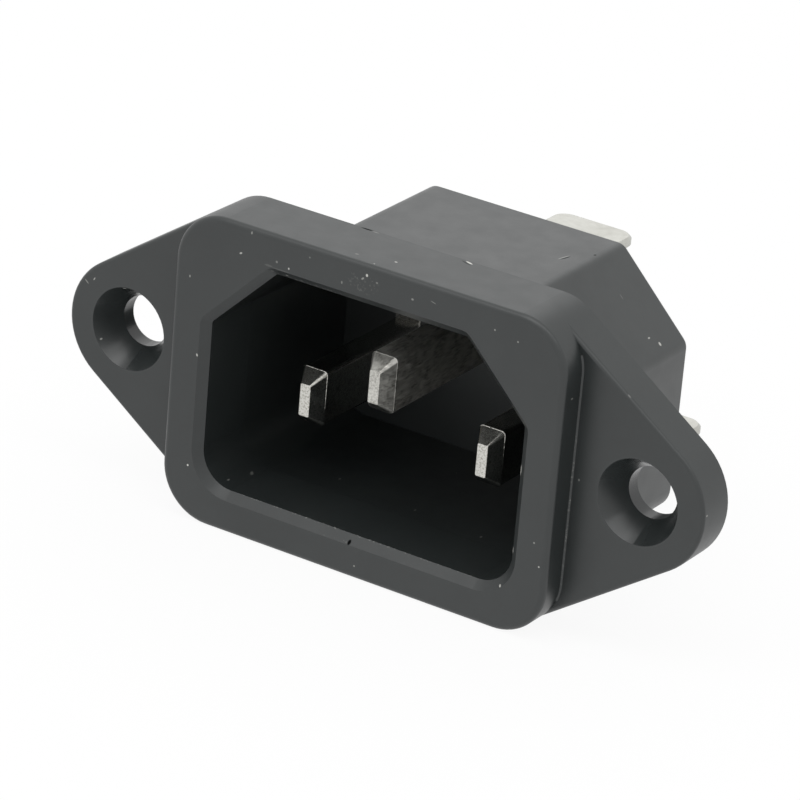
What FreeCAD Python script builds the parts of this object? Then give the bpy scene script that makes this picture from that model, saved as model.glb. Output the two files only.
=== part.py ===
import FreeCAD, Part
import math
import os

# Panel inlet socket of the C14 pattern, in millimetres. The origin is the centre of the flange's
# rear face, on the line of the two screw holes. Seen from the mating side +X is right and +Z is up,
# and +Y runs into the panel, so the collar stands at negative Y and the body at positive Y.

# Flange with its two screw ears
hole_pitch = 40.0
ear_radius = 4.85
flange_thickness = 3.1
screw_hole_diameter = 3.6
countersink_diameter = 5.9
screw_land = 1.1               # straight bore left behind the countersink
flange_edge = 0.25             # round of the front edge; the rear one is sharp

# Raised collar round the mouth
collar_width = 30.2
collar_height = 22.2
collar_corner = 3.7            # also the flange's shoulders, from which its slopes run to the ears
collar_rise = 2.15             # collar in front of the flange
collar_edge = 0.4
root_cove = 0.1                # small slope where the collar's sides leave the flange
root_cove_turn = 20.0          # degrees that it follows round each corner
root_cove_bite = 0.05          # how far it reaches into the collar and the flange

# Mouth and pin cavity, a rectangle with its two top corners cut at 45 degrees
mouth_width = 24.4
mouth_height = 16.4
mouth_cut = 4.8
mouth_cut_round = 0.35
mouth_bottom_round = 2.4
lead_in = 0.58                 # bevel round the mouth, as wide as it is deep
cavity_depth = 17.15           # from the collar's front face to the back wall

# Body behind the flange
side_wall = 0.95
top_wall = 0.8
body_cut = 5.6
body_round = 1.0
body_bottom_round = 1.6
body_rear_edge = 0.3
back_wall = 2.7

# Pins
pin_pitch = 14.0
earth_rise = 4.0               # earth pin above the line through the other two
pin_width = 2.0
pin_height = 4.0
pin_edge = 0.3
tip_width = 0.78
tip_height = 2.3
tip_edge = 0.1
tip_taper = 1.1
live_tip_recess = 4.45         # from the collar's front face to the tips of line and neutral
earth_tip_recess = 1.7
pin_stop = 0.6                 # height of the ridges that stop the pin on the back wall
pin_stop_length = 0.3
pin_clearance = 0.04           # round the pin in its slot through the back wall
rivet_shank = 1.8
rivet_head = 3.4
rivet_head_height = 0.7

# Rear terminals, stamped from one strip and bent
strip = 0.8
tab_width = 6.3
tab_projection = 9.95          # from the body's rear face to the tab's end
tab_corner = 1.2
tab_lead_in = 0.2
tab_hole = 1.8
tab_hole_inset = 4.0
foot_width = 4.8
bend_radius = 0.8              # inside of the bend
earth_tab_offset = 3.05        # from the pin's axis to the middle of the tab
live_tab_offset = 5.1
foot_recess = 0.4              # seat of the foot in the body's rear face
foot_clearance = 0.1

# Places that several pieces share
front_y = -flange_thickness - collar_rise
back_wall_y = front_y + cavity_depth
body_end_y = back_wall_y + back_wall
foot_y = body_end_y - foot_recess
tab_end_y = body_end_y + tab_projection
live_pin_z = -earth_rise / 2
earth_pin_z = earth_rise / 2
overshoot = 1.0                # how far a cutting solid runs past the face that it opens
nearness = 1e-6

forward = FreeCAD.Vector(0, -1, 0)
rearward = FreeCAD.Vector(0, 1, 0)


def point(x, y, z):
    return FreeCAD.Vector(x, y, z)


def arc(start, middle, end):
    return Part.Arc(start, middle, end).toShape()


def rounded_outline(corners, rounds, y):
    """Closed wire in the plane y, through corners in (x, z), each rounded by its own radius."""
    edges = []
    last = None
    first = None
    for i, radius in enumerate(rounds):
        before = point(corners[i - 1][0], y, corners[i - 1][1])
        corner = point(corners[i][0], y, corners[i][1])
        after_x, after_z = corners[(i + 1) % len(corners)]
        to_before = (before - corner).normalize()
        to_after = (point(after_x, y, after_z) - corner).normalize()
        half_angle = to_before.getAngle(to_after) / 2
        bisector = (to_before + to_after).normalize()
        start = corner + to_before * (radius / math.tan(half_angle))
        end = corner + to_after * (radius / math.tan(half_angle))
        middle = corner + bisector * (radius / math.sin(half_angle) - radius)
        if last is not None:
            edges.append(Part.makeLine(last, start))
        edges.append(arc(start, middle, end))
        last = end
        first = first or start
    edges.append(Part.makeLine(last, first))
    return Part.Wire(edges)


def extruded(wire, length):
    """Solid from a closed wire in a plane of constant y, drawn rearward."""
    return Part.Face(wire).extrude(rearward * length)


def edges_at(shape, y, height=None):
    """Edges of the shape that lie wholly in the plane y, or only its upright ones of that height."""
    edges = [e for e in shape.Edges if e.BoundBox.YMin > y - nearness and e.BoundBox.YMax < y + nearness]
    if height:
        edges = [e for e in edges if abs(e.BoundBox.ZLength - height) < nearness]
    return edges


def box_corners(width, height, x=0.0, z=0.0):
    return [
        (x + width / 2, z - height / 2),
        (x + width / 2, z + height / 2),
        (x - width / 2, z + height / 2),
        (x - width / 2, z - height / 2),
    ]


def mouth_outline(grow, y):
    """Outline of the mouth in the plane y, with every side moved outward by grow."""
    half = mouth_width / 2 + grow
    top = mouth_height / 2 + grow
    cut = mouth_cut + grow * (2 - math.sqrt(2))
    corners = [(half, -top), (half, top - cut), (half - cut, top)]
    corners += [(cut - half, top), (-half, top - cut), (-half, -top)]
    bottom = mouth_bottom_round + grow
    cut_round = mouth_cut_round + grow
    return rounded_outline(corners, [bottom, cut_round, cut_round, cut_round, cut_round, bottom], y)


def body_outline(y):
    half = mouth_width / 2 + side_wall
    top = mouth_height / 2 + top_wall
    corners = [(half, -top), (half, top - body_cut), (half - body_cut, top)]
    corners += [(body_cut - half, top), (-half, top - body_cut), (-half, -top)]
    bottom = body_bottom_round
    return rounded_outline(corners, [bottom, body_round, body_round, body_round, body_round, bottom], y)


def flange_outline(y):
    """Collar-wide top and bottom, shoulder rounds, straight sides and round ears, all tangent."""
    shoulder_x = collar_width / 2 - collar_corner
    shoulder_z = collar_height / 2 - collar_corner
    ear_x = hole_pitch / 2
    distance = math.hypot(ear_x - shoulder_x, shoulder_z)
    slope = math.atan2(-shoulder_z, ear_x - shoulder_x)
    normal = slope + math.acos((collar_corner - ear_radius) / distance)

    def on_shoulder(angle, sx, sz):
        x = shoulder_x + collar_corner * math.cos(angle)
        z = shoulder_z + collar_corner * math.sin(angle)
        return point(sx * x, y, sz * z)

    def on_ear(angle, sx, sz):
        x = ear_x + ear_radius * math.cos(angle)
        return point(sx * x, y, sz * ear_radius * math.sin(angle))

    upright = math.pi / 2
    halfway = (upright + normal) / 2
    edges = []
    for sx in (1, -1):
        edges.append(arc(on_ear(normal, sx, -1), on_ear(0, sx, 1), on_ear(normal, sx, 1)))
        for sz in (1, -1):
            edges.append(Part.makeLine(on_ear(normal, sx, sz), on_shoulder(normal, sx, sz)))
            turn = [on_shoulder(angle, sx, sz) for angle in (normal, halfway, upright)]
            edges.append(arc(*turn))
    for sz in (1, -1):
        edges.append(Part.makeLine(on_shoulder(upright, 1, sz), on_shoulder(upright, -1, sz)))
    return Part.Wire(Part.__sortEdges__(edges))


def flange():
    plate = extruded(flange_outline(-flange_thickness), flange_thickness)
    return plate.makeFillet(flange_edge, edges_at(plate, -flange_thickness))


def collar():
    outline = rounded_outline(box_corners(collar_width, collar_height), [collar_corner] * 4, front_y)
    block = extruded(outline, collar_rise + flange_thickness / 2)
    return block.makeFillet(collar_edge, edges_at(block, front_y))


def collar_root(side):
    """Slope at the foot of the collar's side: a triangle swept down the side and into its corners."""
    x = collar_width / 2
    z = collar_height / 2 - collar_corner
    y = -flange_thickness
    corner_x = x - collar_corner
    turn = math.radians(root_cove_turn)

    def on_corner(angle, up):
        along_x = corner_x + collar_corner * math.cos(angle)
        return point(side * along_x, y, up * (z + collar_corner * math.sin(angle)))

    top = arc(on_corner(turn, 1), on_corner(turn / 2, 1), on_corner(0, 1))
    straight = Part.makeLine(on_corner(0, 1), on_corner(0, -1))
    bottom = arc(on_corner(0, -1), on_corner(turn / 2, -1), on_corner(turn, -1))
    path = Part.Wire([top, straight, bottom])
    outward = point(side * math.cos(turn), 0, math.sin(turn))
    start = on_corner(turn, 1)
    bite = root_cove_bite
    heel = start - outward * bite - forward * bite
    triangle = Part.makePolygon([
        heel,
        start + outward * root_cove - forward * bite,
        start + outward * root_cove,
        start + forward * root_cove,
        start - outward * bite + forward * root_cove,
        heel,
    ])
    return path.makePipeShell([triangle], True, False, 0)


def body():
    block = extruded(body_outline(-flange_thickness / 2), body_end_y + flange_thickness / 2)
    return block.makeFillet(body_rear_edge, edges_at(block, body_end_y))


def cavity():
    hollow = extruded(mouth_outline(0, front_y - overshoot), cavity_depth + overshoot)
    outer = mouth_outline(lead_in, front_y)
    inner = mouth_outline(0, front_y + lead_in)
    bevel = Part.makeLoft([outer, inner], True, True)
    return hollow.fuse(bevel)


def screw_hole(side):
    """Straight bore and the countersink cone in front of it, run out past the flange's face."""
    bore_radius = screw_hole_diameter / 2
    depth = flange_thickness - screw_land
    flare = (countersink_diameter / 2 - bore_radius) / depth
    x = side * hole_pitch / 2
    bore_length = flange_thickness + 2 * overshoot
    bore = Part.makeCylinder(bore_radius, bore_length, point(x, overshoot, 0), forward)
    length = depth + overshoot
    widest = bore_radius + flare * length
    cone = Part.makeCone(bore_radius, widest, length, point(x, -screw_land, 0), forward)
    return bore.fuse(cone)


def pin_section(x, z, y, grow=0.0):
    corners = box_corners(pin_width + 2 * grow, pin_height + 2 * grow, x, z)
    return rounded_outline(corners, [pin_edge + grow] * 4, y)


def pin_slot(x, z):
    """Slot that takes the pin's full section through the back wall."""
    outline = pin_section(x, z, back_wall_y - overshoot, pin_clearance)
    return extruded(outline, back_wall + 2 * overshoot)


def foot_outline(x, z, offset, up, grow, y):
    """Round end at the rivet, straight neck, and the full strip where the bend begins."""
    neck = foot_width / 2 + grow
    full = tab_width / 2 + grow
    bend_z = offset - strip / 2 - bend_radius
    flare_z = bend_z - (full - neck)
    edge_z = offset + strip / 2 if grow else bend_z
    end_z = edge_z + grow

    def at(right, height):
        return point(x + right, y, z + up * height)

    sides = [(neck, 0), (neck, flare_z), (full, bend_z), (full, end_z)]
    sides += [(-full, end_z), (-full, bend_z), (-neck, flare_z), (-neck, 0)]
    lines = Part.makePolygon([at(*side) for side in sides])
    end = arc(at(-neck, 0), at(0, -neck), at(neck, 0))
    return Part.Wire(lines.Edges + [end])


def foot_seat(x, z, offset, up):
    """Recess in the body's rear face that keeps the terminal's foot from turning."""
    outline = foot_outline(x, z, offset, up, foot_clearance, foot_y)
    return extruded(outline, foot_recess + overshoot)


def housing():
    """Flange, collar and body, moulded in one, with the cavity and every hole and seat cut out."""
    solid = flange().fuse([collar(), body(), collar_root(1), collar_root(-1)])
    cuts = [cavity(), screw_hole(1), screw_hole(-1)]
    for _, x, z, _, offset, up in pins:
        cuts.append(pin_slot(x, z))
        cuts.append(foot_seat(x, z, offset, up))
    return solid.cut(cuts).removeSplitter()


def rivet(x, z):
    """Shank through the terminal's foot, from the end of the pin's bar, with its domed head."""
    end_y = foot_y + strip
    shank = Part.makeCylinder(rivet_shank / 2, strip, point(x, foot_y, z), rearward)
    dome_radius = ((rivet_head / 2) ** 2 + rivet_head_height ** 2) / (2 * rivet_head_height)
    sunk = dome_radius - rivet_head_height
    rim_angle = math.degrees(math.asin(sunk / dome_radius))
    head = Part.makeSphere(dome_radius, point(x, end_y - sunk, z), rearward, rim_angle, 90, 360)
    return shank.fuse(head)


def pin(x, z, recess):
    """Flat bar with softened edges, tapered on all four sides to its tip, with two stop ridges."""
    tip_y = front_y + recess
    full_y = tip_y + tip_taper
    bar = extruded(pin_section(x, z, full_y), foot_y - full_y)
    tip = rounded_outline(box_corners(tip_width, tip_height, x, z), [tip_edge] * 4, tip_y)
    taper = Part.makeLoft([tip, pin_section(x, z, full_y)], True, True)
    ridge_corner = point(x - pin_width / 2, back_wall_y - pin_stop_length, z - pin_height / 2 - pin_stop)
    ridges = Part.makeBox(pin_width, pin_stop_length, pin_height + 2 * pin_stop, ridge_corner)
    return bar.fuse([taper, ridges, rivet(x, z)]).removeSplitter()


def end_rims(tab):
    """Upper and lower edges of the tab's straight end and of its two rounded corners."""
    start = tab_end_y - tab_corner - nearness
    flat = [e for e in tab.Edges if e.BoundBox.ZLength < nearness]
    return [e for e in flat if e.BoundBox.YMin > start]


def terminal(x, z, offset, up):
    """Foot against the body, a quarter bend, and the flat push-on tab with rounded corners."""
    foot = extruded(foot_outline(x, z, offset, up, 0, foot_y), strip)
    bend_z = z + up * (offset - strip / 2 - bend_radius)
    bend_y = foot_y + strip + bend_radius
    left = x - tab_width / 2
    inner = bend_radius
    outer = bend_radius + strip
    diagonal = math.sqrt(0.5)

    def at(y, height):
        return point(left, bend_y + y, bend_z + up * height)

    ring = Part.Wire([
        arc(at(-outer, 0), at(-outer * diagonal, outer * diagonal), at(0, outer)),
        Part.makeLine(at(0, outer), at(0, inner)),
        arc(at(0, inner), at(-inner * diagonal, inner * diagonal), at(-inner, 0)),
        Part.makeLine(at(-inner, 0), at(-outer, 0)),
    ])
    bend = Part.Face(ring).extrude(point(tab_width, 0, 0))
    low_z = z + up * offset - strip / 2
    tab = Part.makeBox(tab_width, tab_end_y - bend_y, strip, point(left, bend_y, low_z))
    tab = tab.makeFillet(tab_corner, edges_at(tab, tab_end_y, strip))
    tab = tab.makeChamfer(tab_lead_in, end_rims(tab))
    cuts = [
        Part.makeCylinder(tab_hole / 2, 3 * strip, point(x, tab_end_y - tab_hole_inset, low_z - strip)),
        Part.makeCylinder(rivet_shank / 2, 3 * strip, point(x, foot_y - strip, z), rearward),
    ]
    return foot.fuse([bend, tab]).cut(cuts).removeSplitter()


# Each pin: name, x, z, recess of its tip, offset of its rear tab, and the way that the tab turns
pins = [
    ("line", -pin_pitch / 2, live_pin_z, live_tip_recess, live_tab_offset, -1),
    ("neutral", pin_pitch / 2, live_pin_z, live_tip_recess, live_tab_offset, -1),
    ("earth", 0.0, earth_pin_z, earth_tip_recess, earth_tab_offset, 1),
]

os.makedirs("parts", exist_ok=True)
housing().exportStep("parts/housing.step")
for name, x, z, recess, offset, up in pins:
    pin(x, z, recess).exportStep("parts/" + name + "_pin.step")
    terminal(x, z, offset, up).exportStep("parts/" + name + "_tab.step")
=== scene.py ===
import math
import bpy
import numpy as np
from mathutils import Matrix, Vector


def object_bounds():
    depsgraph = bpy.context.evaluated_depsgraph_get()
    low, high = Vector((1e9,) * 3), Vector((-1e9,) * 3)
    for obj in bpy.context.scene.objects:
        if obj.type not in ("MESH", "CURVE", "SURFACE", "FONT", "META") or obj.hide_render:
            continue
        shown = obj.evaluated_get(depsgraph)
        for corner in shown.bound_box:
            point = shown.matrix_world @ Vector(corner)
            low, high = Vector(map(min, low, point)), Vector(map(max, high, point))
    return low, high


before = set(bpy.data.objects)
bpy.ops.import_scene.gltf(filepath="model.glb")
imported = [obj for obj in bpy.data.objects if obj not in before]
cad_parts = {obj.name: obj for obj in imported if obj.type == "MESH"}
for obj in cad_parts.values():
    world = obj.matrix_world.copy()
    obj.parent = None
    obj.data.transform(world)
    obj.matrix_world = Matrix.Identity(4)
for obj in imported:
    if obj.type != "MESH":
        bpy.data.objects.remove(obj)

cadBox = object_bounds()
print("frame loaded, nodes:", ", ".join(sorted(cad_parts)))

mm = 0.001


# sRGB hex code to the linear colour that a socket takes:
# c / 12.92 below 0.04045, ((c + 0.055) / 1.055) ^ 2.4 above it.
def linearColour(hexCode):
    srgb = np.array([int(hexCode[i:i + 2], 16) for i in (1, 3, 5)]) / 255
    linear = np.where(srgb <= 0.04045, srgb / 12.92, ((srgb + 0.055) / 1.055) ** 2.4)
    return (*linear.tolist(), 1.0)


# Adds one node. A setting is a socket's value where its key is a socket's name or number,
# and the node's own property otherwise; links go from an output to a named or numbered socket.
# A Mix node's sockets share their names and go by number: 0 is the share, 2 and 3 are the numbers
# that it mixes and 6 and 7 the colours, and output 0 is the mixed number and 2 the mixed colour.
def addNode(tree, kind, settings=None, links=None):
    node = tree.nodes.new(kind)
    for key, value in (settings or {}).items():
        if isinstance(key, int) or key in node.inputs:
            node.inputs[key].default_value = value
        else:
            setattr(node, key, value)
    for key, source in (links or {}).items():
        tree.links.new(source, node.inputs[key])
    return node


# Empties the tree of a material and returns it with its output node.
def startMaterial(material):
    material.use_nodes = True
    tree = material.node_tree
    tree.nodes.clear()
    return tree, addNode(tree, "ShaderNodeOutputMaterial")


# Cycles per metre of a pattern whose features are so many millimetres wide.
def perMetre(size):
    return 1 / (size * mm)


# Noise of a feature size in mm, mapped from its usual span onto low to high.
def noiseBetween(tree, coordinates, size, low, high, span=(0.3, 0.7), detail=3.0):
    pattern = {"Scale": perMetre(size), "Detail": detail}
    noise = addNode(tree, "ShaderNodeTexNoise", pattern, {"Vector": coordinates})
    mapped = {"From Min": span[0], "From Max": span[1], "To Min": low, "To Max": high}
    return addNode(tree, "ShaderNodeMapRange", mapped, {"Value": noise.outputs["Fac"]}).outputs["Result"]


# Squeezes object space along y, so that noise of a width across the metal is drawn to a length along it.
def drawnAlong(tree, coordinates, width, length):
    squeeze = {"Scale": [1.0, width / length, 1.0]}
    return addNode(tree, "ShaderNodeMapping", squeeze, {"Vector": coordinates}).outputs["Vector"]


blemishFade = (0.75, 1.25)          # of a blemish's half size, where it starts to fade and where it is gone


# Mask of an ellipsoid: its strength where |(p - centre) / half size| is below the fade, and 0 above it.
def blemishMask(tree, coordinates, centre, halfSize, turn, strength):
    ellipsoid = {"vector_type": "TEXTURE", "Location": [c * mm for c in centre]}
    ellipsoid["Rotation"] = [math.radians(angle) for angle in turn]
    ellipsoid["Scale"] = [h * mm for h in halfSize]
    local = addNode(tree, "ShaderNodeMapping", ellipsoid, {"Vector": coordinates})
    distance = addNode(tree, "ShaderNodeVectorMath", {"operation": "LENGTH"}, {0: local.outputs["Vector"]})
    full, gone = blemishFade
    fade = {"From Min": gone, "From Max": full, "To Max": strength}
    return addNode(tree, "ShaderNodeMapRange", fade, {"Value": distance.outputs["Value"]}).outputs["Result"]


# Largest of the masks of a list of blemishes.
def blemishes(tree, coordinates, places):
    largest = blemishMask(tree, coordinates, *places[0])
    for place in places[1:]:
        both = {0: largest, 1: blemishMask(tree, coordinates, *place)}
        largest = addNode(tree, "ShaderNodeMath", {"operation": "MAXIMUM"}, both).outputs[0]
    return largest


housingFinish = {
    "resin": "#242828",             # bulk colour, near black
    "paleResin": "#2b2f2f",         # where the filler comes up to the skin
    # pale colour of the dust specks, the scuffs and the painted highlight at the collar's right foot
    "dustAndHighlight": "#c4c4be",
    "nick": "#101111",
    "ior": 1.585,                   # polyester with glass and mineral filler
    "specularLevel": 0.5,           # what that ior gives by itself; the bottom of a nick has none
    "draft": 2.8,                   # degrees that side faces slope away from the mould's parting line
    "cloudSize": 5.0,               # mm, patches of more and less filler
    "cloudShare": 0.55,             # of the pale resin in them
    "speckleSize": 0.3,             # mm, tufts of filler right at the skin
    "speckleSpan": (0.5, 0.8),      # of the noise
    "speckleShare": 0.3,
    "grainSize": 0.22,              # mm, spark-eroded mould texture, drawn coarser than it is
    "grainHeight": 0.002,           # mm
    "waveSize": 3.0,                # mm, slow sink and flow unevenness
    "waveHeight": 0.003,            # mm
    "roughness": (0.36, 0.42),
    "glossSize": 1.6,               # mm, patches of more and less roughness
    "nickedRoughness": 0.9,
    "polishedRoughness": 0.26,      # screw holes, moulded on turned and polished cores
    "holeOffset": 20.0,             # mm from the middle of the part to that of each screw hole
    "polishEdge": (2.97, 3.02),     # mm from the hole's middle, just past its countersink's 2.95 mm
    "polishEnd": (-0.06, -0.01),    # mm along y, just in front of the flange's rear face
    "fleckSize": 0.18,              # mm, flecks of the scuffs and of the painted highlight
    "fleckSpan": (0.55, 0.7),       # of the noise
    "dustCell": 1.3,                # mm between possible specks
    "dustRadius": 0.07,             # of a cell
    "dustShare": 0.03,              # share of the cells that hold one
}


# 0 inside the screw holes and 1 elsewhere: the larger of two ramps, one where the length of
# (|x| - hole offset, z) passes the polish's edge, one where y passes its end.
def outsideScrewHoles(tree, coordinates):
    finish = housingFinish
    place = addNode(tree, "ShaderNodeSeparateXYZ", None, {"Vector": coordinates})
    side = addNode(tree, "ShaderNodeMath", {"operation": "ABSOLUTE"}, {0: place.outputs["X"]})
    toHole = {"operation": "SUBTRACT", 1: finish["holeOffset"] * mm}
    across = addNode(tree, "ShaderNodeMath", toHole, {0: side.outputs[0]})
    flat = addNode(tree, "ShaderNodeCombineXYZ", None, {"X": across.outputs[0], "Z": place.outputs["Z"]})
    radius = addNode(tree, "ShaderNodeVectorMath", {"operation": "LENGTH"}, {0: flat.outputs[0]}).outputs["Value"]
    ramps = []
    for value, limits in ((radius, finish["polishEdge"]), (place.outputs["Y"], finish["polishEnd"])):
        ramp = {"From Min": limits[0] * mm, "From Max": limits[1] * mm}
        ramps.append(addNode(tree, "ShaderNodeMapRange", ramp, {"Value": value}).outputs["Result"])
    return addNode(tree, "ShaderNodeMath", {"operation": "MAXIMUM"}, {0: ramps[0], 1: ramps[1]}).outputs[0]


# Height, -|y| * tan(draft), whose slope turns every side face away from the flange's rear face, at y = 0.
def draftHeight(tree, coordinates):
    place = addNode(tree, "ShaderNodeSeparateXYZ", None, {"Vector": coordinates})
    depth = addNode(tree, "ShaderNodeMath", {"operation": "ABSOLUTE"}, {0: place.outputs["Y"]})
    slope = {"operation": "MULTIPLY", 1: -math.tan(math.radians(housingFinish["draft"]))}
    return addNode(tree, "ShaderNodeMath", slope, {0: depth.outputs[0]}).outputs[0]


# Filled polyester, injection moulded in a spark-eroded tool: near black, satin, with a fine grain that blurs its
# reflections to a grey sheen, glossier in the screw holes, with white specks of dust, a few nicks and a painted
# highlight along the foot of the collar's right side.
def mouldedFilledPolyester(material):
    finish = housingFinish
    tree, output = startMaterial(material)
    coordinates = addNode(tree, "ShaderNodeTexCoord").outputs["Object"]

    cloud = noiseBetween(tree, coordinates, finish["cloudSize"], 0.0, finish["cloudShare"])
    speckle = noiseBetween(tree, coordinates, finish["speckleSize"], 0.0, finish["speckleShare"], finish["speckleSpan"])
    mottled = addNode(tree, "ShaderNodeMath", {"operation": "ADD"}, {0: cloud, 1: speckle}).outputs[0]
    colours = {"data_type": "RGBA", 6: linearColour(finish["resin"]), 7: linearColour(finish["paleResin"])}
    resin = addNode(tree, "ShaderNodeMix", colours, {0: mottled}).outputs[2]

    cell = addNode(tree, "ShaderNodeTexVoronoi", {"Scale": perMetre(finish["dustCell"])}, {"Vector": coordinates})
    lottery = addNode(tree, "ShaderNodeSeparateColor", None, {"Color": cell.outputs["Color"]})
    chosen = {"From Min": 1 - finish["dustShare"], "To Max": finish["dustRadius"]}
    radius = addNode(tree, "ShaderNodeMapRange", chosen, {"Value": lottery.outputs["Red"]}).outputs["Result"]
    inside = {0: cell.outputs["Distance"], 1: radius}
    speck = addNode(tree, "ShaderNodeMath", {"operation": "LESS_THAN"}, inside).outputs[0]
    placed = {0: speck, 1: blemishes(tree, coordinates, dustPlaces)}
    specks = addNode(tree, "ShaderNodeMath", {"operation": "MAXIMUM"}, placed).outputs[0]
    # The scuffs' flecks also break up a painted highlight along the foot of the collar's right side.
    fleck = noiseBetween(tree, coordinates, finish["fleckSize"], 0.0, 1.0, finish["fleckSpan"])
    flecked = {0: fleck, 1: blemishes(tree, coordinates, scuffAndHighlightPlaces)}
    scuffAndHighlight = addNode(tree, "ShaderNodeMath", {"operation": "MULTIPLY"}, flecked).outputs[0]
    dustAndHighlight = addNode(tree, "ShaderNodeMath", {"operation": "MAXIMUM"}, {0: specks, 1: scuffAndHighlight}).outputs[0]
    pale = {"data_type": "RGBA", 7: linearColour(finish["dustAndHighlight"])}
    withDustAndHighlight = addNode(tree, "ShaderNodeMix", pale, {0: dustAndHighlight, 6: resin}).outputs[2]
    nick = blemishes(tree, coordinates, nickPlaces)
    dark = {"data_type": "RGBA", 7: linearColour(finish["nick"])}
    colour = addNode(tree, "ShaderNodeMix", dark, {0: nick, 6: withDustAndHighlight}).outputs[2]

    satin = noiseBetween(tree, coordinates, finish["glossSize"], *finish["roughness"])
    polished = {"data_type": "FLOAT", 2: finish["polishedRoughness"]}
    outside = outsideScrewHoles(tree, coordinates)
    roughness = addNode(tree, "ShaderNodeMix", polished, {0: outside, 3: satin}).outputs[0]
    nicked = {"data_type": "FLOAT", 3: finish["nickedRoughness"]}
    roughness = addNode(tree, "ShaderNodeMix", nicked, {0: nick, 2: roughness}).outputs[0]
    hollow = {"To Min": finish["specularLevel"], "To Max": 0.0}
    level = addNode(tree, "ShaderNodeMapRange", hollow, {"Value": nick}).outputs["Result"]

    asDrawn = {"Strength": 1.0, "Distance": 1.0}
    normal = addNode(tree, "ShaderNodeBump", asDrawn, {"Height": draftHeight(tree, coordinates)}).outputs["Normal"]
    for name, detail in (("wave", 1.0), ("grain", 2.0)):
        pattern = {"Scale": perMetre(finish[name + "Size"]), "Detail": detail}
        noise = addNode(tree, "ShaderNodeTexNoise", pattern, {"Vector": coordinates})
        uneven = {"Strength": 1.0, "Distance": finish[name + "Height"] * mm}
        added = {"Height": noise.outputs["Fac"], "Normal": normal}
        normal = addNode(tree, "ShaderNodeBump", uneven, added).outputs["Normal"]

    surface = {"Base Color": colour, "Roughness": roughness, "Specular IOR Level": level, "Normal": normal}
    shader = addNode(tree, "ShaderNodeBsdfPrincipled", {"IOR": finish["ior"]}, surface)
    tree.links.new(shader.outputs[0], output.inputs["Surface"])
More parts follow.
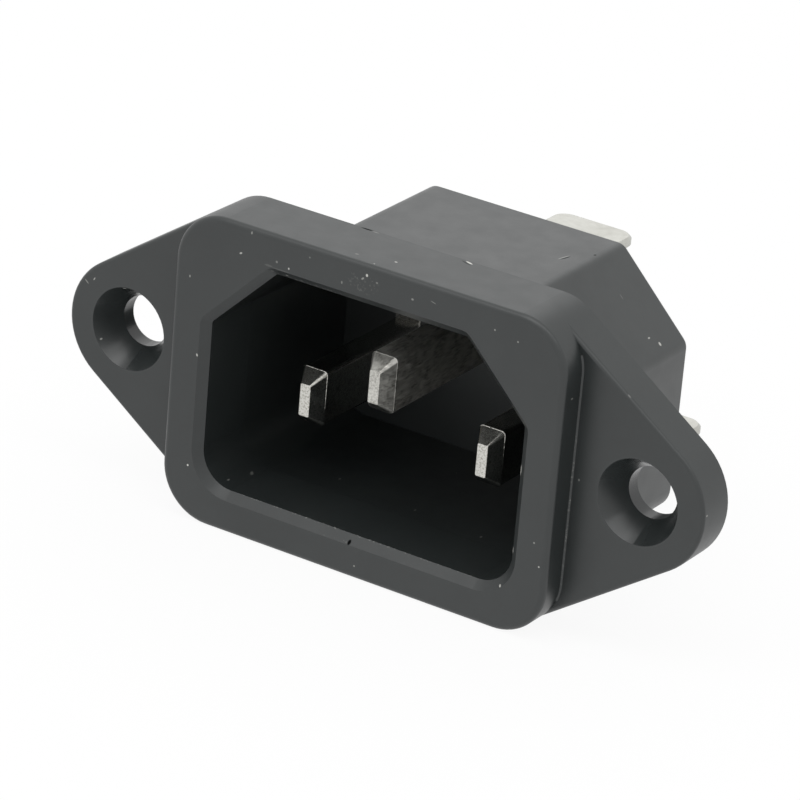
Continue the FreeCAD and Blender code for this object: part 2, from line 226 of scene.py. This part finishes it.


# Specks of dust, chips and fine scratches that show pale: centre and half size in mm, turn in degrees, strength.
# The scuffs, which include one painted highlight, and the nicks below are given in the same way.
dustPlaces = [
    ((4.4, -0.25, 11.1), (0.3, 0.08, 0.1), (0, 0, -19), 1.0),   # collar's top, the largest one
    ((-2.95, -0.15, 11.1), (0.28, 0.05, 0.1), (0, 0, 0), 0.25),
    ((-9.22, -5.2, 10.75), (0.06, 0.2, 0.1), (0, 0, 0), 0.35),  # collar's front, along the top
    ((-9.96, -5.25, 9.11), (0.11, 0.2, 0.06), (0, -30, 0), 0.65),
    ((-7.13, -5.25, 9.31), (0.08, 0.2, 0.08), (0, 0, 0), 0.25),
    ((-6.17, -5.25, 9.11), (0.055, 0.2, 0.07), (0, 0, 0), 0.8),
    ((-6.48, -4.9, 8.43), (0.1, 0.1, 0.05), (0, 0, 0), 0.5),
    ((-4.62, -5.25, 10.35), (0.06, 0.2, 0.06), (0, 0, 0), 0.2),
    ((-0.18, -5.25, 10.39), (0.08, 0.2, 0.1), (0, 0, 0), 0.9),
    ((-0.48, -5.25, 10.09), (0.12, 0.2, 0.06), (0, -40, 0), 0.4),
    ((0.62, -5.25, 10.1), (0.08, 0.2, 0.06), (0, 0, 0), 0.25),
    ((-2.04, -5.25, 9.36), (0.06, 0.2, 0.1), (0, 0, 0), 0.25),
    ((3.38, -5.25, 9.77), (0.09, 0.2, 0.07), (0, 0, 0), 0.35),
    ((4.95, -5.25, 10.02), (0.2, 0.2, 0.03), (0, 15, 0), 0.25),
    ((9.65, -5.25, 9.52), (0.06, 0.2, 0.06), (0, 0, 0), 0.4),
    ((11.41, -5.25, 9.22), (0.06, 0.2, 0.06), (0, 0, 0), 0.4),
    ((-7.55, -5.02, 8.47), (0.35, 0.06, 0.03), (0, 10, 0), 0.2),    # mouth's upper left corner and top edge
    ((-7.75, -5.25, 8.88), (0.3, 0.1, 0.07), (0, 0, 0), 0.08),
    ((-6.8, -5.25, 8.83), (0.7, 0.1, 0.03), (0, 0, 0), 0.07),
    ((-13.84, -5.25, 6.35), (0.05, 0.2, 0.09), (0, 0, 0), 0.45),
    ((-12.86, -5.25, 0.96), (0.06, 0.2, 0.1), (0, -20, 0), 0.8),
    ((14.02, -5.25, -4.05), (0.06, 0.2, 0.06), (0, 0, 0), 0.45),
    ((14.54, -5.2, -5.6), (0.06, 0.2, 0.06), (0, 0, 0), 0.8),
    ((11.78, -5.15, -7.9), (0.1, 0.2, 0.08), (0, 30, 0), 0.8),
    ((0.68, -5.25, -10.13), (0.06, 0.2, 0.06), (0, 0, 0), 0.5),
    ((-1.75, -4.15, 11.1), (0.13, 0.05, 0.1), (0, 0, 20), 0.35),
    ((0.85, -3.5, 11.1), (0.1, 0.07, 0.1), (0, 0, 0), 0.8),
    ((12.2, -4.7, 0.35), (0.1, 0.12, 0.35), (0, 0, 0), 1.0),    # chips along the mouth's right edge
    ((12.2, -4.67, -5.36), (0.08, 0.1, 0.22), (0, 0, 0), 1.0),
    ((-23.01, -3.1, 2.81), (0.04, 0.2, 0.12), (0, 30, 0), 0.6),  # ears
    ((-23.62, -3.1, 2.45), (0.2, 0.2, 0.04), (0, 40, 0), 0.35),
    ((-20.67, -2.85, 2.72), (0.12, 0.2, 0.06), (0, 20, 0), 0.8),
    ((-22.35, -2.85, -1.5), (0.06, 0.15, 0.06), (0, 0, 0), 0.5),
    ((18.55, -2.95, 6.95), (0.15, 0.06, 0.1), (0, 45, 0), 0.18),
    ((15.1, -4.15, 6.05), (0.06, 0.1, 0.06), (0, 0, 0), 0.4),
    ((15.63, -3.1, 0.18), (0.06, 0.1, 0.08), (0, 0, 0), 0.35),
    ((24.85, -2.7, 0.48), (0.1, 0.1, 0.06), (0, 0, 0), 0.4),
    ((5.88, 9.45, 9.0), (0.5, 0.05, 0.1), (0, 0, 76), 0.35),    # body
    ((9.72, 10.95, 6.85), (0.2, 0.05, 0.2), (0, 0, 0), 0.12),
    ((12.03, 11.06, 4.52), (0.06, 0.12, 0.06), (0, 0, 0), 0.6),
    ((12.53, 11.75, 4.02), (0.14, 0.1, 0.14), (0, 0, 0), 0.8),
    ((-10.3, -1.5, -8.2), (0.12, 0.3, 0.1), (0, 0, 30), 0.2),   # cavity's floor
    ((-10.7, -3.7, -8.1), (0.08, 0.2, 0.1), (0, 0, 0), 0.25),
    ((-5.4, 1.9, -8.2), (0.06, 0.12, 0.1), (0, 0, 0), 0.4),
    ((1.1, 1.25, -8.2), (0.06, 0.12, 0.1), (0, 0, 0), 0.35),
    ((6.63, 0.75, -8.2), (0.06, 0.12, 0.1), (0, 0, 0), 0.35),
]
scuffAndHighlightPlaces = [
    ((-0.4, -5.25, 9.75), (1.2, 0.2, 0.65), (0, 0, 0), 0.1),    # collar's front, above the mouth
    ((-3.9, -4.8, 8.33), (3.4, 0.12, 0.1), (0, 0, 0), 0.35),    # mouth's top edge
    ((-1.0, -5.15, -8.7), (1.0, 0.1, 0.1), (0, 0, 0), 0.2),     # mouth's lower edge
    ((0, -4.67, -8.2), (9.0, 0.08, 0.08), (0, 0, 0), 0.3),
    ((15.1, -3.1, -1.0), (0.13, 0.13, 6.5), (0, 0, 0), 0.16),   # foot of the collar's right side: a painted highlight, broken up by the flecks
]
nickPlaces = [
    ((0.08, -5.1, -8.65), (0.11, 0.22, 0.17), (0, 0, 0), 1.0),   # mouth's lower bevel
    ((6.02, 9.45, 9.0), (0.42, 0.05, 0.1), (0, 0, 76), 0.8),    # scratch on the body's top
    ((7.2, 11.3, 9.0), (0.08, 0.12, 0.1), (0, 0, 0), 0.5),
    ((-3.6, -0.1, 11.05), (0.5, 0.09, 0.1), (0, 0, 0), 0.9),    # gouge at the flange's rear edge
    ((4.25, -0.4, 11.1), (0.42, 0.08, 0.1), (0, 0, -19), 0.35),  # beside the largest speck
]

bevelSamples = 6                    # rays that find how near an edge is

brightPinFinish = {
    "plating": "#cdccc6",
    "stain": "#94928b",             # what tumbling and use leave in the tip's pores
    "stainSize": 0.16,              # mm
    "stainSpan": (0.45, 0.75),      # of the noise
    "shoulder": 0.3,                # mm along y, where the coined tip meets the bar
    "burrWidth": 0.035,             # mm
    "burrSpan": (-3.2, -0.6),       # mm up the pin, from where the burr is worn off to where it stands full
    "burrPatch": 0.25,              # mm, stretches where it is more and less worn
    "burrWear": (0.1, 1.2),         # share of its height that is left in them
    "scraped": (11.42, 11.59),      # mm along y, in front of the ridges, where the slot's edge rubbed the plating
    "lineWidth": 0.1,               # mm across, from drawing the bar
    "lineLength": 4.0,              # mm along the pin
    "lineHeight": 0.0002,           # mm
    "roughness": (0.16, 0.25),
    "glossSize": 0.9,               # mm, patches of more and less roughness
    "edgeRadius": 0.06,             # mm, round that the plating and tumbling leave on every edge
}
dullPinFinish = {
    "plating": "#d3d2cc",
    "rubbed": "#85837d",
    "shoulder": -2.45,              # mm along y, where the coined tip meets the bar
    "shoulderBlend": 0.05,          # mm on both sides of it, where the tip's polish ends
    "burrWidth": 0.02,              # mm
    "burrSpan": (-2.0, 5.0),        # mm up the pin
    "burrPatch": 0.25,              # mm
    "burrWear": (0.1, 1.2),         # share of its height
    "rubWidth": 0.16,               # mm, scuffs of a tumbled and much used pin
    "rubLength": 0.7,               # mm along the pin
    "rubSpan": (0.35, 0.65),        # of the noise
    "rubDetail": 4.0,
    "rubHeight": 0.0035,            # mm
    "cloudSize": 1.1,               # mm, patches of more and fewer scuffs
    "roughness": (0.46, 0.66),
    "glossSize": 0.3,               # mm, patches of more and less roughness
    "tipShare": 0.6,                # roughness of the coined tip as a share of the bar's
    "edgeRadius": 0.04,             # mm
}


# Fine burr that coining the tip leaves round the bar: its height falls from the shoulder to nothing within
# its width, (width - |y - shoulder|) * noise * (share of the way up its span), so its flanks stand steep.
def shoulderBurr(tree, coordinates, finish, normal):
    width = finish["burrWidth"] * mm
    place = addNode(tree, "ShaderNodeSeparateXYZ", None, {"Vector": coordinates})
    toShoulder = {"operation": "SUBTRACT", 1: finish["shoulder"] * mm}
    along = addNode(tree, "ShaderNodeMath", toShoulder, {0: place.outputs["Y"]})
    away = addNode(tree, "ShaderNodeMath", {"operation": "ABSOLUTE"}, {0: along.outputs[0]})
    fall = {"From Max": width, "To Min": width, "To Max": 0.0}
    ridge = addNode(tree, "ShaderNodeMapRange", fall, {"Value": away.outputs[0]}).outputs["Result"]
    low, high = (z * mm for z in finish["burrSpan"])
    rise = {"From Min": low, "From Max": high}
    span = addNode(tree, "ShaderNodeMapRange", rise, {"Value": place.outputs["Z"]}).outputs["Result"]
    worn = noiseBetween(tree, coordinates, finish["burrPatch"], *finish["burrWear"])
    share = addNode(tree, "ShaderNodeMath", {"operation": "MULTIPLY"}, {0: span, 1: worn}).outputs[0]
    height = addNode(tree, "ShaderNodeMath", {"operation": "MULTIPLY"}, {0: ridge, 1: share}).outputs[0]
    bump = addNode(tree, "ShaderNodeBump", {"Strength": 1.0, "Distance": 1.0}, {"Height": height, "Normal": normal})
    return bump.outputs["Normal"]


# Brass bar drawn to a rectangle, coined to its tip and bright nickel plated: a near mirror that shows the dark
# cavity on its sides and white only on its tip and in the thin lines of its edges, dull where it was scraped.
def nickelPlatedBrass(material):
    finish = brightPinFinish
    tree, output = startMaterial(material)
    coordinates = addNode(tree, "ShaderNodeTexCoord").outputs["Object"]
    stain = noiseBetween(tree, coordinates, finish["stainSize"], 0.0, 1.0, finish["stainSpan"])
    colours = {"data_type": "RGBA", 6: linearColour(finish["plating"]), 7: linearColour(finish["stain"])}
    colour = addNode(tree, "ShaderNodeMix", colours, {0: stain}).outputs[2]
    roughness = noiseBetween(tree, coordinates, finish["glossSize"], *finish["roughness"])
    place = addNode(tree, "ShaderNodeSeparateXYZ", None, {"Vector": coordinates}).outputs["Y"]
    start, end = (y * mm for y in finish["scraped"])
    within = {"operation": "COMPARE", 1: (start + end) / 2, 2: (end - start) / 2}
    scraped = addNode(tree, "ShaderNodeMath", within, {0: place}).outputs[0]
    bare = {"To Min": 1.0, "To Max": 0.0}
    metallic = addNode(tree, "ShaderNodeMapRange", bare, {"Value": scraped}).outputs["Result"]
    along = drawnAlong(tree, coordinates, finish["lineWidth"], finish["lineLength"])
    line = addNode(tree, "ShaderNodeTexNoise", {"Scale": perMetre(finish["lineWidth"])}, {"Vector": along})
    edge = addNode(tree, "ShaderNodeBevel", {"samples": bevelSamples, "Radius": finish["edgeRadius"] * mm})
    burred = shoulderBurr(tree, coordinates, finish, edge.outputs["Normal"])
    bump = {"Strength": 1.0, "Distance": finish["lineHeight"] * mm}
    normal = addNode(tree, "ShaderNodeBump", bump, {"Height": line.outputs["Fac"], "Normal": burred})
    surface = {"Base Color": colour, "Roughness": roughness, "Metallic": metallic, "Normal": normal.outputs["Normal"]}
    shader = addNode(tree, "ShaderNodeBsdfPrincipled", None, surface)
    tree.links.new(shader.outputs[0], output.inputs["Surface"])


# Brass bar drawn to a rectangle, tumbled and tin plated: frosted grey metal with short scuffs along it, which
# scatters light from the mouth back along its whole side.
def tumbledTinnedBrass(material):
    finish = dullPinFinish
    tree, output = startMaterial(material)
    coordinates = addNode(tree, "ShaderNodeTexCoord").outputs["Object"]
    along = drawnAlong(tree, coordinates, finish["rubWidth"], finish["rubLength"])
    rub = noiseBetween(tree, along, finish["rubWidth"], 0.0, 1.0, finish["rubSpan"], finish["rubDetail"])
    cloud = noiseBetween(tree, coordinates, finish["cloudSize"], 0.0, 1.0)
    dulling = addNode(tree, "ShaderNodeMath", {"operation": "MULTIPLY"}, {0: rub, 1: cloud}).outputs[0]
    colours = {"data_type": "RGBA", 6: linearColour(finish["plating"]), 7: linearColour(finish["rubbed"])}
    colour = addNode(tree, "ShaderNodeMix", colours, {0: dulling}).outputs[2]
    barRoughness = noiseBetween(tree, along, finish["glossSize"], *finish["roughness"])
    place = addNode(tree, "ShaderNodeSeparateXYZ", None, {"Vector": coordinates}).outputs["Y"]
    shoulder, blend = finish["shoulder"] * mm, finish["shoulderBlend"] * mm
    toBar = {"From Min": shoulder - blend, "From Max": shoulder + blend, "To Min": finish["tipShare"]}
    share = addNode(tree, "ShaderNodeMapRange", toBar, {"Value": place}).outputs["Result"]
    roughness = addNode(tree, "ShaderNodeMath", {"operation": "MULTIPLY"}, {0: barRoughness, 1: share}).outputs[0]
    edge = addNode(tree, "ShaderNodeBevel", {"samples": bevelSamples, "Radius": finish["edgeRadius"] * mm})
    burred = shoulderBurr(tree, coordinates, finish, edge.outputs["Normal"])
    bump = {"Strength": 1.0, "Distance": finish["rubHeight"] * mm}
    normal = addNode(tree, "ShaderNodeBump", bump, {"Height": rub, "Normal": burred})
    surface = {"Base Color": colour, "Roughness": roughness, "Normal": normal.outputs["Normal"]}
    shader = addNode(tree, "ShaderNodeBsdfPrincipled", {"Metallic": 1.0}, surface)
    tree.links.new(shader.outputs[0], output.inputs["Surface"])


tabFinish = {
    "tin": "#c5c5bf",
    "stain": "#b3b2ab",
    "crystalSize": 0.5,             # mm, soft spangle of the tin
    "crystalShare": 0.45,           # of the stain in it
    "cloudSize": 2.5,               # mm, patches of more and less stain
    "cloudShare": 0.55,
    "rollWidth": 0.1,               # mm between rolling lines
    "rollLength": 2.5,              # mm along the strip
    "rollHeight": 0.0004,           # mm
    "roughness": (0.3, 0.42),
    "glossSize": 0.8,               # mm, patches of more and less roughness
    "edgeRadius": 0.08,             # mm, burr side and draw side of the punched edge
}


# Brass strip, rolled, bright-tinned and then stamped: pale warm grey, with faint rolling lines and a
# soft spangle in the tin.
def tinnedStampedBrass(material):
    finish = tabFinish
    tree, output = startMaterial(material)
    coordinates = addNode(tree, "ShaderNodeTexCoord").outputs["Object"]
    spangle = noiseBetween(tree, coordinates, finish["crystalSize"], 0.0, finish["crystalShare"])
    cloud = noiseBetween(tree, coordinates, finish["cloudSize"], 0.0, finish["cloudShare"])
    stain = addNode(tree, "ShaderNodeMath", {"operation": "ADD"}, {0: spangle, 1: cloud}).outputs[0]
    colours = {"data_type": "RGBA", 6: linearColour(finish["tin"]), 7: linearColour(finish["stain"])}
    colour = addNode(tree, "ShaderNodeMix", colours, {0: stain}).outputs[2]
    roughness = noiseBetween(tree, coordinates, finish["glossSize"], *finish["roughness"])
    rolled = drawnAlong(tree, coordinates, finish["rollWidth"], finish["rollLength"])
    lines = addNode(tree, "ShaderNodeTexNoise", {"Scale": perMetre(finish["rollWidth"])}, {"Vector": rolled})
    edge = addNode(tree, "ShaderNodeBevel", {"samples": bevelSamples, "Radius": finish["edgeRadius"] * mm})
    bump = {"Strength": 1.0, "Distance": finish["rollHeight"] * mm}
    normal = addNode(tree, "ShaderNodeBump", bump, {"Height": lines.outputs["Fac"], "Normal": edge.outputs["Normal"]})
    surface = {"Base Color": colour, "Roughness": roughness, "Normal": normal.outputs["Normal"]}
    shader = addNode(tree, "ShaderNodeBsdfPrincipled", {"Metallic": 1.0}, surface)
    tree.links.new(shader.outputs[0], output.inputs["Surface"])


nodeFinishes = {
    "housing": ("filledPolyester", mouldedFilledPolyester),
    "line_pin": ("nickelPlating", nickelPlatedBrass),
    "neutral_pin": ("nickelPlating", nickelPlatedBrass),
    "earth_pin": ("tumbledTin", tumbledTinnedBrass),
    "line_tab": ("tinnedTab", tinnedStampedBrass),
    "neutral_tab": ("tinnedTab", tinnedStampedBrass),
    "earth_tab": ("tinnedTab", tinnedStampedBrass),
}
made = {}
for nodeName, (finishName, makeFinish) in nodeFinishes.items():
    if finishName not in made:
        made[finishName] = bpy.data.materials.new(finishName)
        makeFinish(made[finishName])
    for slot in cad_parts[nodeName].material_slots:
        slot.material = made[finishName]
print("finishes made:", ", ".join(made))


stageSetup = {
    "floorHalf": 3.0,               # m
    "floor": "#f8f8f8",
    "floorGlow": 0.92,              # share of plain white in what the camera sees of the floor
    "world": "#ffffff",
    "worldStrength": 0.8,           # on the object; where it is seen it is 1, plain white
}


# A share for rays that come straight from the camera, 1 for those from a reflection or through glass, else 0.
def seenDirectly(tree, cameraShare):
    path = addNode(tree, "ShaderNodeLightPath")
    portion = {"operation": "MULTIPLY", 1: cameraShare}
    direct = addNode(tree, "ShaderNodeMath", portion, {0: path.outputs["Is Camera Ray"]}).outputs[0]
    reflected = {0: direct, 1: path.outputs["Is Glossy Ray"]}
    seen = addNode(tree, "ShaderNodeMath", {"operation": "MAXIMUM"}, reflected).outputs[0]
    through = {0: seen, 1: path.outputs["Is Transmission Ray"]}
    return addNode(tree, "ShaderNodeMath", {"operation": "MAXIMUM"}, through).outputs[0]


# Pale floor that just meets the flange's lower edge: the four corners of a square at that height.
def makeFloor():
    height = cadBox[0].z
    corners = np.array([[-1, -1], [1, -1], [1, 1], [-1, 1]]) * stageSetup["floorHalf"]
    mesh = bpy.data.meshes.new("floor")
    mesh.from_pydata(np.column_stack([corners, np.full(4, height)]).tolist(), [], [[0, 1, 2, 3]])
    floor = bpy.data.objects.new("floor", mesh)
    bpy.context.scene.collection.objects.link(floor)
    material = bpy.data.materials.new("paleFloor")
    tree, output = startMaterial(material)
    lit = addNode(tree, "ShaderNodeBsdfDiffuse", {"Color": linearColour(stageSetup["floor"])})
    white = addNode(tree, "ShaderNodeEmission", {"Strength": 1.0})
    share = seenDirectly(tree, stageSetup["floorGlow"])
    both = addNode(tree, "ShaderNodeMixShader", None, {0: share, 1: lit.outputs[0], 2: white.outputs[0]})
    tree.links.new(both.outputs[0], output.inputs["Surface"])
    mesh.materials.append(material)


# White world at the level of the room's light, and plain white where it is seen.
def makeWorld():
    world = bpy.data.worlds.new("studio")
    bpy.context.scene.world = world
    world.use_nodes = True
    tree = world.node_tree
    tree.nodes.clear()
    level = {"To Min": stageSetup["worldStrength"]}
    strength = addNode(tree, "ShaderNodeMapRange", level, {"Value": seenDirectly(tree, 1.0)}).outputs["Result"]
    colour = {"Color": linearColour(stageSetup["world"])}
    background = addNode(tree, "ShaderNodeBackground", colour, {"Strength": strength})
    addNode(tree, "ShaderNodeOutputWorld", None, {"Surface": background.outputs[0]})


# Soft boxes: place and aim in mm, two sides in mm, and the brightness of the white that they show.
softBoxes = {
    "overheadRear": {"place": (-220, 420, 330), "aim": (0, 0, 0), "sides": (380, 380), "brightness": 0.45},
    "overheadFront": {"place": (-110, -235, 485), "aim": (0, 0, 0), "sides": (300, 300), "brightness": 1.75},
    "overheadStrip": {"place": (170, -75, 530), "aim": (0, -75, 0), "sides": (200, 640), "brightness": 1.45},
}


# A soft box of sides s and t that shows brightness b gives pi * s * t * b watts.
def makeSoftBox(name, box):
    lamp = bpy.data.lights.new(name, "AREA")
    lamp.shape = "RECTANGLE"
    lamp.size, lamp.size_y = (side * mm for side in box["sides"])
    lamp.energy = math.pi * lamp.size * lamp.size_y * box["brightness"]
    holder = bpy.data.objects.new(name, lamp)
    place = Vector(box["place"]) * mm
    toward = Vector(box["aim"]) * mm - place
    holder.matrix_world = Matrix.Translation(place) @ toward.to_track_quat("-Z", "Y").to_matrix().to_4x4()
    bpy.context.scene.collection.objects.link(holder)


cameraSetup = {
    "azimuth": 31.079,              # degrees from the front towards the right
    "elevation": 23.836,            # degrees
    "roll": 4.972,                  # degrees
    "distance": 319.257,            # mm from the origin along the line of sight
    "aside": -0.061,                # mm, the camera's own right
    "above": -0.059,                # mm, the camera's own up
    "lens": 217.767,                # mm
    "sensor": 36.0,                 # mm wide
    "clipStart": 10.0,              # mm
}


# back = (sin az cos el, -cos az cos el, sin el); level lies square to it, and upright is back x level.
# right and up are these two turned by the roll about back, right = level cos r + upright sin r and
# up = upright cos r - level sin r, and the camera stands at back * distance + right * aside + up * above.
def makeCamera():
    azimuth, elevation, roll = (math.radians(cameraSetup[key]) for key in ("azimuth", "elevation", "roll"))
    across = math.cos(elevation)
    back = Vector((math.sin(azimuth) * across, -math.cos(azimuth) * across, math.sin(elevation)))
    level = Vector((math.cos(azimuth), math.sin(azimuth), 0))
    upright = back.cross(level)
    right = level * math.cos(roll) + upright * math.sin(roll)
    up = upright * math.cos(roll) - level * math.sin(roll)
    place = back * cameraSetup["distance"] + right * cameraSetup["aside"] + up * cameraSetup["above"]
    data = bpy.data.cameras.new("photoCamera")
    data.sensor_width = cameraSetup["sensor"]
    data.lens = cameraSetup["lens"]
    data.clip_start = cameraSetup["clipStart"] * mm
    camera = bpy.data.objects.new("photoCamera", data)
    camera.matrix_world = Matrix.Translation(place * mm) @ Matrix((right, up, back)).transposed().to_4x4()
    bpy.context.scene.collection.objects.link(camera)
    bpy.context.scene.camera = camera


makeFloor()
makeWorld()
for boxName, boxSetup in softBoxes.items():
    makeSoftBox(boxName, boxSetup)
makeCamera()
bpy.context.scene.view_settings.view_transform = "Standard"
print("stage, lamps and camera made")
